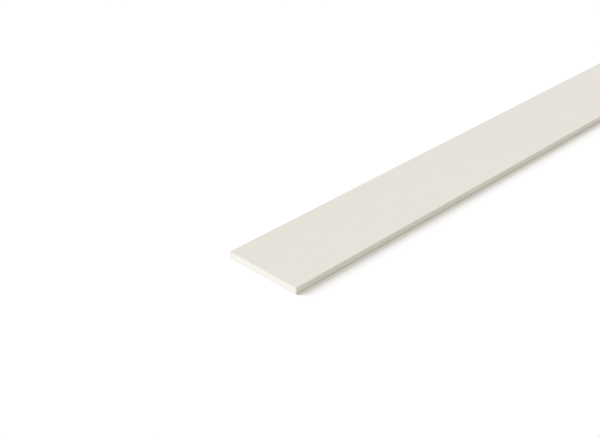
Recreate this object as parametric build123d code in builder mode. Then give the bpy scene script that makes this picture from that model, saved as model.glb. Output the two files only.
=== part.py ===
"""Smooth fibre cement trim board: one piece of flat stock, lying on its back face.

The board runs along X, its width is along Y, and its back face is on Z = 0 with the origin at the
middle of that face. The four long edges are eased by a small radius. The ends are sawn square, with
only their sharp rim taken off.
"""

import os

from build123d import *

# Driving dimensions in millimetres
board_length = 3657.6  # 12 ft, the length that trim boards are sold in
board_width = 234.95  # 9 1/4 in
board_thickness = 19.05  # 3/4 in, sold as 4/4
arris_radius = 0.8  # easing along the four long edges
end_rim_chamfer = 0.3  # rim of each sawn end

# The section, drawn across the board with its back edge on Y, then carried along the whole length
with BuildPart() as board:
    with BuildSketch(Plane.YZ) as section:
        Rectangle(board_width, board_thickness, align=(Align.CENTER, Align.MIN))
        fillet(section.vertices(), radius=arris_radius)
    extrude(amount=board_length / 2, both=True)

    # The sawn ends are the two faces square to X
    end_faces = board.faces().filter_by(Axis.X)
    chamfer(end_faces.edges(), length=end_rim_chamfer)

board.part.label = "board"

os.makedirs("parts", exist_ok=True)
export_step(board.part, "parts/board.step")
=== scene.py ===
# %% [markdown]
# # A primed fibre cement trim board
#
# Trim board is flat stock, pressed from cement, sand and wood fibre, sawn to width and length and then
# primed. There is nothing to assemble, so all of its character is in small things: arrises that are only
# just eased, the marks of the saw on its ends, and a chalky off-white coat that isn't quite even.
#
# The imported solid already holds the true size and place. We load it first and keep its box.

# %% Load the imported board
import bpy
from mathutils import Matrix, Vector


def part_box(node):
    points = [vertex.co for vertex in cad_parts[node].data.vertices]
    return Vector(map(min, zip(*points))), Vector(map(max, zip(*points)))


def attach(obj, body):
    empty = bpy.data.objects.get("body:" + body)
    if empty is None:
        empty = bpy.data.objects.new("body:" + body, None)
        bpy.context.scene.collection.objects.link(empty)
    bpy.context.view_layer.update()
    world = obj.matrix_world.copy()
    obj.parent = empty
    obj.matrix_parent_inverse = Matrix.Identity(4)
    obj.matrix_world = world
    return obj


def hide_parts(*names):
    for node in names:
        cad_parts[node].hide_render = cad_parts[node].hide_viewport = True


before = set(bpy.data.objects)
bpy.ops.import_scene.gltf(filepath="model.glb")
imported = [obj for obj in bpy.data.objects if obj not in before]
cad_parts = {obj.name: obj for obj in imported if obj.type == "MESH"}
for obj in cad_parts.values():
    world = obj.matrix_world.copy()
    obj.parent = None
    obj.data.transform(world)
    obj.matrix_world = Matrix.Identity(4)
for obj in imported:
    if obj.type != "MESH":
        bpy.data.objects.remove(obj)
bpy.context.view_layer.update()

# %% Read the sizes that everything else follows
import math

import bmesh
import bpy
import numpy as np
from mathutils import Vector

MM = 0.001

low, high = (np.array(corner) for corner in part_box("board"))
length, width, thickness = (float(side) for side in high - low)
print(f"board {length / MM:.1f} x {width / MM:.2f} x {thickness / MM:.2f} mm")

# %% [markdown]
# ## The section
#
# Seen from its end, the board is a rectangle with a small quarter circle at each corner. A cube with a
# Bevel modifier would give that shape, but not a surface that a saw can mark. So we write the outline down
# ourselves, as a loop of points about half a millimetre apart. The loop can also be drawn at a smaller size:
# each sawn end will be this same loop, shrinking towards its own middle line.

# %% A loop round the section that can shrink
ARRIS_RADIUS = 0.8 * MM
POINTS_ACROSS = 480
POINTS_UP = 40
POINTS_ROUND_ARRIS = 7


def section_loop():
    """Weights of the loop: a point is  flat * (half size - radius) + turn * radius.

    Along a side, flat runs from -1 to 1 and turn is the side's outward normal. Round a corner, flat stays
    at the corner and turn sweeps a quarter circle to the next side's normal.
    """
    across = np.linspace(-1, 1, POINTS_ACROSS)[:, None]
    up = np.linspace(-1, 1, POINTS_UP)[:, None]
    sweep = np.linspace(0, math.pi / 2, POINTS_ROUND_ARRIS)[1:-1, None]
    flats, turns = [], []
    for heading in np.array([(1, 0), (0, 1), (-1, 0), (0, -1)]):
        outward = np.array([heading[1], -heading[0]])
        run = across if heading[0] else up
        flats += [run * heading + outward, np.ones_like(sweep) * (heading + outward)]
        turns += [np.ones_like(run) * outward, np.cos(sweep) * outward + np.sin(sweep) * heading]
    return np.concatenate(flats), np.concatenate(turns)


loop_flat, loop_turn = section_loop()
print(f"the section loop has {len(loop_flat)} points")

# %% [markdown]
# ## One path from end to end
#
# The loop is carried along a path that starts in the middle of one sawn end, comes out to the rim, turns
# over it, runs the length of the board and goes in again at the other end. Each stop on the path has a place
# along the board and an inset, which says how far the loop has shrunk there. That makes the whole board one
# grid, with no caps to sew on. A stop just inside each rim keeps the smooth shading of the rim off the long
# flat faces.

# %% The stops along that path
RIM_EASING = 0.3 * MM
RIM_GUARD = 0.6 * MM
STOPS_ALONG_HALF = 9
STOPS_OVER_RIM = 4
STOPS_INTO_END = 22


def path_stops():
    """Place along the board and inset of every stop, worked out for one half and mirrored.

    The rim is a quarter circle: as its angle grows, the place gains the sine and the inset 1 - cosine.
    """
    straight = length / 2 - RIM_EASING
    along = np.append(np.linspace(0, straight - RIM_GUARD, STOPS_ALONG_HALF), straight)
    rim = np.linspace(0, math.pi / 2, STOPS_OVER_RIM)[1:]
    inward = np.linspace(RIM_EASING, thickness / 2, STOPS_INTO_END)[1:]
    over_rim = straight + RIM_EASING * np.sin(rim)
    reach = np.concatenate([along, over_rim, np.full_like(inward, length / 2)])
    inset = np.concatenate([np.zeros_like(along), RIM_EASING * (1 - np.cos(rim)), inward])
    return np.append(-reach[:0:-1], reach), np.append(inset[:0:-1], inset)


stop_place, stop_inset = path_stops()
print(f"the path has {len(stop_place)} stops")

# %% [markdown]
# ## What the saw and the press leave behind
#
# Fibre cement is built up from thin sheets of wet pulp, and its cut edges keep faint lines where one sheet
# meets the next. A crosscut saw adds shallow arcs to the ends. Neither is deeper than a tenth of a
# millimetre, and both could be bump alone, but then the mesh would be dead flat. They are simple waves, so
# we cut them into the mesh.

# %% Waves for the sheet lines and the saw arcs
SHEET_PITCH = 2.1 * MM
SHEET_UNEVENNESS = 0.18
SHEET_DEPTH = 0.04 * MM
BLADE_RADIUS = 127 * MM
BLADE_AXIS_DROP = 62 * MM
TOOTH_PITCH = 5.2 * MM
DEEP_TOOTH_EVERY = 3.6
SAW_DEPTH = 0.1 * MM


def wave(turns):
    """A cosine wave from 0 to 1 that starts at 0 and comes round once in every turn."""
    return (1 - np.cos(2 * math.pi * turns)) / 2


def sheet_lines(z):
    """Depth of the sheet lines at a height z: a wave whose pitch wanders a little from sheet to sheet."""
    sheets = z / SHEET_PITCH
    return SHEET_DEPTH * wave(sheets + SHEET_UNEVENNESS * np.sin(sheets))


def saw_arcs(y, z):
    """Depth of the saw's arcs: a wave of how far the blade has fed when its rim reaches a point.

    The blade's axis runs below the board, so the rim is  sqrt(radius^2 - (z + drop)^2)  ahead of the axis.
    It is multiplied by a slower wave of the same feed, because only some of the teeth cut deep.
    """
    teeth = (y - np.sqrt(BLADE_RADIUS**2 - (z + BLADE_AXIS_DROP)**2)) / TOOTH_PITCH
    return SAW_DEPTH * wave(teeth) * wave(teeth / DEEP_TOOTH_EVERY)


print(f"relief up to {(SAW_DEPTH + SHEET_DEPTH) / MM:.2f} mm deep")

# %% [markdown]
# ## The surface
#
# Now the loop and the path meet. Each stop gives a half size and a corner radius, both less the inset, and
# every point of the loop follows by the formula above. The relief only ever goes inwards, so that the board
# stays inside the box of the solid.

# %% Carry the loop along the path


def board_surface():
    """Grid of points (stops, points round the loop, 3): at each stop, the loop shrunk by the stop's inset.

    The relief is taken off along x on the ends, where it fades in past the rim. On the long edges it is
    taken off along y, times the cube of the outward normal's y, which falls to 0 round each arris.
    """
    half = np.array([width, thickness]) / 2 - stop_inset[:, None]
    radius = np.maximum(ARRIS_RADIUS - stop_inset, 0)[:, None]
    y, up = np.moveaxis(loop_flat * (half - radius)[:, None] + loop_turn * radius[:, None], -1, 0)
    z = up + thickness / 2
    on_end = np.clip(stop_inset / RIM_EASING - 1, 0, 1)[:, None]
    on_edge = np.clip(1 - stop_inset / RIM_EASING, 0, 1)[:, None] * loop_turn[:, 0]**3
    x = stop_place[:, None] - np.sign(stop_place)[:, None] * on_end * (saw_arcs(y, z) + sheet_lines(z))
    return np.stack([x, y - on_edge * sheet_lines(z), z], axis=-1)


surface = board_surface()
print("the board is a grid of", surface.shape[:2])

# %% [markdown]
# ## Into Blender
#
# The grid becomes quads. At each end the last loop has shrunk to a line, where its upper and lower runs lie
# on each other, so merging doubles closes the board. Then the faces are turned outwards. A closed mesh has
# exactly two faces at every edge, and we count to be sure.

# %% Make the mesh
MERGE_DISTANCE = 0.001 * MM

scene = bpy.context.scene


def grid_quads(stops, around):
    """Corner numbers of the quads of a grid that joins up with itself in its second direction."""
    here = np.arange(stops * around).reshape(stops, around)
    beside = np.roll(here, -1, axis=1)
    return np.stack([here[:-1], beside[:-1], beside[1:], here[1:]], axis=-1).reshape(-1, 4)


def put_in_scene(name, data):
    """An object that shows this mesh, lamp or camera, linked to the scene."""
    shown = bpy.data.objects.new(name, data)
    scene.collection.objects.link(shown)
    return shown


def add_piece(name, grid):
    """A mesh object from a closed grid, with what meets merged and its faces turned outwards."""
    mesh = bpy.data.meshes.new(name)
    mesh.from_pydata(grid.reshape(-1, 3), [], grid_quads(*grid.shape[:2]))
    work = bmesh.new()
    work.from_mesh(mesh)
    bmesh.ops.remove_doubles(work, verts=work.verts, dist=MERGE_DISTANCE)
    bmesh.ops.recalc_face_normals(work, faces=work.faces)
    open_edges = sum(not edge.is_manifold for edge in work.edges)
    work.to_mesh(mesh)
    work.free()
    mesh.shade_smooth()
    print(f"{name}: {len(mesh.polygons)} faces, {open_edges} open edges")
    return put_in_scene(name, mesh)


board = add_piece("primed_board", surface)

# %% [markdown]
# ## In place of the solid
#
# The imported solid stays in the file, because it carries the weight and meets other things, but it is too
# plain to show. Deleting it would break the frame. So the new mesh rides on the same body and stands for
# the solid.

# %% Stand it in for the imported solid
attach(board, "root")
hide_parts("board")
print("primed_board replaces the solid")

# %% [markdown]
# ## Shader sums in plain Python
#
# A finish needs a little arithmetic: masks, blends and heights. Wiring that by hand takes a dozen lines for
# one formula. Here a small class wraps an output socket, and adding or multiplying two of them adds the
# Math node that does it. Every other node comes from the one method, node, which sets its settings first.

# %% A socket that can be added and multiplied


class Signal:
    """An output socket of a node tree, with arithmetic that grows the tree."""

    def __init__(self, tree, socket=None):
        self.tree = tree
        self.socket = socket

    def node(self, kind, settings=None, inputs=None, output=0):
        """Add a node: its settings first, then a value or a signal for each input, by name or number."""
        added = self.tree.nodes.new(kind)
        for name, value in (settings or {}).items():
            setattr(added, name, value)
        for key, value in (inputs or {}).items():
            if isinstance(value, Signal):
                self.tree.links.new(value.socket, added.inputs[key])
            else:
                added.inputs[key].default_value = value
        return Signal(self.tree, added.outputs[output])

    def math(self, operation, *terms):
        """Add a Math node that works on the terms in their order."""
        return self.node("ShaderNodeMath", {"operation": operation}, dict(enumerate(terms)))

    def __add__(self, other):
        return self.math("ADD", self, other)

    def __sub__(self, other):
        return self.math("SUBTRACT", self, other)

    def __rsub__(self, other):
        return self.math("SUBTRACT", other, self)

    def __mul__(self, other):
        return self.math("MULTIPLY", self, other)

    __radd__ = __add__
    __rmul__ = __mul__

    def __abs__(self):
        return self.math("ABSOLUTE", self)

    def axis(self, name):
        """The X, Y or Z of a vector."""
        return self.node("ShaderNodeSeparateXYZ", inputs={"Vector": self}, output=name)

    def ramp(self, start, stop):
        """0 up to start, 1 from stop on, and a smooth step between them."""
        smooth = {"interpolation_type": "SMOOTHSTEP"}
        return self.node("ShaderNodeMapRange", smooth, {"Value": self, "From Min": start, "From Max": stop})

    def into(self, shader, name):
        """Link this signal to an input of the shader."""
        self.tree.links.new(self.socket, shader.inputs[name])


print("signals can be added, subtracted and multiplied")

# %% [markdown]
# ## The primer
#
# Factory primer is a thin, warm off-white coat with almost no shine. From across a yard it looks like one
# flat colour. Nearer, it has broad faint clouds from the coating line, finer mottling drawn out along the
# board, flecks of fibre that show through, and a stipple that takes the edge off any highlight.
#
# The pattern could be painted, but noise at the right scale is smaller and never repeats. All of it reads
# Object coordinates, which are metres on this board, so every scale below can be thought of as waves in a
# metre.

# %% Four layers of noise
CLOUDS = {"Scale": 2.2, "Detail": 2}
MOTTLE = {"Scale": 48, "Detail": 3}
FLECKS = {"Scale": 1500, "Detail": 1}
STIPPLE = {"Scale": 420, "Detail": 2}
FLECKS_SHOW = (0.6, 0.75)
DRAWN_ALONG = (0.3, 1, 1)


def new_finish(name):
    """A new material, and the Principled shader in it."""
    material = bpy.data.materials.new(name)
    material.use_nodes = True
    return material, material.node_tree.nodes["Principled BSDF"]


def noise(place, layer):
    """Soft noise from 0 to 1, about a half on average, at the layer's scale and detail."""
    return place.node("ShaderNodeTexNoise", inputs={"Vector": place, **layer})


primer, primer_shader = new_finish("primed_cement")
point = Signal(primer.node_tree).node("ShaderNodeTexCoord", output="Object")
drawn_point = point.node("ShaderNodeMapping", inputs={"Vector": point, "Scale": DRAWN_ALONG})
clouds = noise(drawn_point, CLOUDS)
mottle = noise(drawn_point, MOTTLE)
flecks = noise(drawn_point, FLECKS).ramp(*FLECKS_SHOW)
stipple = noise(point, STIPPLE)
print(len(primer.node_tree.nodes), "nodes so far")

# %% [markdown]
# ## Where the coat differs
#
# The arrises carry a painted highlight, a touch paler than the coat, and the sawn ends drink more of the
# coat and are a little rougher.
# Such places could be marked by hand with a colour attribute. But they follow from where a point lies in
# the board, so a formula finds them exactly, and goes on finding them if the board changes size.

# %% Find the arrises and the sawn ends
ARRIS_HIGHLIGHT_BAND = 1.4 * MM


def arris_highlight_share(place):
    """Share of the painted highlight: 1 along the four long arrises, where a point is near two faces at
    once, and 0 a band away.
    """
    from_middle = place.axis("Z") - thickness / 2
    near_edge = abs(place.axis("Y")).ramp(width / 2 - ARRIS_HIGHLIGHT_BAND, width / 2)
    near_face = abs(from_middle).ramp(thickness / 2 - ARRIS_HIGHLIGHT_BAND, thickness / 2)
    return near_edge * near_face


def end_share(place):
    """1 on the two sawn ends, as deep as the relief goes, and 0 from the rim on."""
    return abs(place.axis("X")).ramp(length / 2 - RIM_EASING, length / 2 - SAW_DEPTH - SHEET_DEPTH)


# where the painted highlight along the arrises lies
arrises = arris_highlight_share(point)
ends = end_share(point)
print(f"the arrises are paler within {ARRIS_HIGHLIGHT_BAND / MM:.1f} mm")

# %% [markdown]
# ## Colour
#
# The coat is pale where it lies thick and a shade deeper where it is thin, and a bare fibre shows as a
# darker speck. One ramp could hold all these colours, but then a speck couldn't lie in a pale place as well
# as in a deep one. A blend for each layer, one over the other, keeps them apart.

# %% Blend the layers of colour
PRIMER_PALE = (0.755, 0.73, 0.67, 1)
PRIMER_DEEP = (0.685, 0.66, 0.6, 1)
# a painted highlight: the arrises are coloured paler, where they would catch the light
PAINTED_ARRIS_HIGHLIGHT = (0.775, 0.752, 0.696, 1)
FIBRE_FLECK = (0.6, 0.573, 0.511, 1)
CLOUD_SHARE = 0.5
FLECK_SHARE = 0.55

# A Mix node has sockets of the same names for each kind of data, so those for colours go by number
MIX_SHARE, MIX_FIRST, MIX_SECOND, MIX_RESULT = 0, 6, 7, 2


def blend(share, first, second):
    """The first colour where the share is 0, the second where it is 1."""
    inputs = {MIX_SHARE: share, MIX_FIRST: first, MIX_SECOND: second}
    return share.node("ShaderNodeMix", {"data_type": "RGBA"}, inputs, MIX_RESULT)


depth = CLOUD_SHARE * clouds + (1 - CLOUD_SHARE) * mottle
coat = blend(depth, PRIMER_PALE, PRIMER_DEEP)
flecked_coat = blend(FLECK_SHARE * flecks, coat, FIBRE_FLECK)
# last, the painted highlight: a paler colour along the arrises
blend(arrises, flecked_coat, PAINTED_ARRIS_HIGHLIGHT).into(primer_shader, "Base Color")
print("the coat runs from", PRIMER_PALE[:3], "to", PRIMER_DEEP[:3])

# %% [markdown]
# ## Shine and grain
#
# The primer is matte, a little more so in its mottling and on the ends. Its grain is only hundredths of a
# millimetre high. In the mesh that would take millions of faces, so here bump is the right tool. The heights
# are true ones, in metres, and a Bump distance of one metre leaves them as they are.

# %% Roughness and bump
SPECULAR = 0.4
ROUGHNESS = 0.58
ROUGHER_MOTTLE = 0.12
ROUGHER_FLECKS = 0.06
ROUGHER_ENDS = 0.1
STIPPLE_HEIGHT = 0.02 * MM
FLECK_HEIGHT = 0.012 * MM
METRE = 1.0

primer_shader.inputs["Specular IOR Level"].default_value = SPECULAR
roughness = ROUGHNESS + ROUGHER_MOTTLE * mottle + ROUGHER_FLECKS * flecks + ROUGHER_ENDS * ends
roughness.into(primer_shader, "Roughness")

height = STIPPLE_HEIGHT * stipple + FLECK_HEIGHT * flecks
bumps = point.node("ShaderNodeBump", inputs={"Height": height, "Distance": METRE})
bumps.into(primer_shader, "Normal")

board.data.materials.append(primer)
print(len(primer.node_tree.nodes), "nodes in the primer")

# %% [markdown]
# ## Floor
#
# Product pictures of building stock stand on white paper. One large quad is enough. A real board is never
# dead flat, so along its foot it stands about a millimetre clear of what it lies on. We leave that gap under
# it. It shows as a thin dark line, which sets the pale end off from the white paper.

# %% White paper to lie on
FLOOR_REACH = 100
FLOOR_GAP = 1.0 * MM
PAPER_WHITE = (0.93, 0.93, 0.93, 1)
PAPER_ROUGHNESS = 0.9


def studio_floor():
    """A square of white paper, centred under the board."""
    corners = np.array([(-1, -1), (1, -1), (1, 1), (-1, 1)]) * FLOOR_REACH
    mesh = bpy.data.meshes.new("studio_floor")
    mesh.from_pydata(np.column_stack([corners, np.full(len(corners), -FLOOR_GAP)]), [], [(0, 1, 2, 3)])
    paper, paper_shader = new_finish("white_paper")
    paper_shader.inputs["Base Color"].default_value = PAPER_WHITE
    paper_shader.inputs["Roughness"].default_value = PAPER_ROUGHNESS
    mesh.materials.append(paper)
    return put_in_scene("studio_floor", mesh)


studio_floor()
print(f"floor {2 * FLOOR_REACH} m square")

# %% [markdown]
# ## Light
#
# The near end is the brightest face, the broad face comes next, and the long edge towards us is in shade,
# with a soft shadow on the floor beside it. That takes two lights: an even, slightly warm sky that fills the
# shade, and one large, slightly cool lamp on the left, beyond the near end and behind the back edge.
#
# The sky lights the board as it is, but beyond the paper it shows as plain white, so that low views have no
# horizon. The lamp could be an area light close by, but that is brighter at one end of so long a board. A
# sun lamp with a wide angle is as soft and lights the whole length alike. At this height it shows the back
# edge too, where a lower one would burn it out.

# %% An even, warm sky
FILL = (0.698, 0.671, 0.62, 1)
BACKDROP_WHITE = (1, 1, 1, 1)

scene.world = bpy.data.worlds.new("fill")
scene.world.use_nodes = True
sky = scene.world.node_tree.nodes["Background"]
seen = Signal(scene.world.node_tree).node("ShaderNodeLightPath", output="Is Camera Ray")
blend(seen, FILL, BACKDROP_WHITE).into(sky, "Color")
print("the sky fills with", FILL[:3])

# %% A soft key lamp
KEY_COLOUR = (0.839, 0.898, 1.0)
KEY_STRENGTH = 2.74
KEY_ANGLE = math.radians(42)
KEY_HEIGHT = math.radians(34)
KEY_SIDE = math.radians(48)

lamp = bpy.data.lights.new("key", "SUN")
lamp.color = KEY_COLOUR
lamp.energy = KEY_STRENGTH
lamp.angle = KEY_ANGLE
towards_key = Vector((-math.cos(KEY_SIDE), math.sin(KEY_SIDE), math.tan(KEY_HEIGHT)))
put_in_scene("key", lamp).rotation_euler = towards_key.to_track_quat("Z", "Y").to_euler()
print(f"key lamp {math.degrees(KEY_SIDE):.0f} degrees round from the end, {math.degrees(KEY_HEIGHT):.0f} up")

# %% [markdown]
# ## The picture
#
# A filmic view would turn white paper grey, so the view is Standard. The denoiser is guided by colour alone:
# with normals as well, it takes the noise on a face as narrow as the end for grain, and leaves it in.

# %% Keep the paper white and the end smooth
scene.view_settings.view_transform = "Standard"
scene.cycles.denoising_input_passes = "RGB_ALBEDO"
print("view:", scene.view_settings.view_transform)

# %% [markdown]
# ## Camera
#
# The picture looks down on the near corner of the broad face, with the length running off to the right. The
# camera could be aimed by hand, but numbers from the board keep it in place. It stands at about shoulder
# height, and is placed from that corner: so far back, so far aside and so far up, along its own heading.

# %% Stand the camera at the near corner
EYE_ABOVE_FACE = 1.4983
CORNER_AHEAD = 2.2398
CORNER_ASIDE = -0.0096
LOOK_DOWN = math.radians(30.25)
LENGTH_TO_RIGHT = math.radians(44.56)
LENS_IN_MM = 67.63
SENSOR_IN_MM = 36

ahead = np.array([math.cos(LENGTH_TO_RIGHT), math.sin(LENGTH_TO_RIGHT), 0])
aside = np.array([ahead[1], -ahead[0], 0])
above_corner = np.array([low[0], low[1], high[2] + EYE_ABOVE_FACE])

camera_data = bpy.data.cameras.new("camera")
camera_data.lens = LENS_IN_MM
camera_data.sensor_width = SENSOR_IN_MM
camera = put_in_scene("camera", camera_data)
camera.location = above_corner - CORNER_AHEAD * ahead - CORNER_ASIDE * aside
camera.rotation_euler = (math.pi / 2 - LOOK_DOWN, 0, LENGTH_TO_RIGHT - math.pi / 2)
scene.camera = camera
print(f"camera {EYE_ABOVE_FACE:.2f} m above the face")
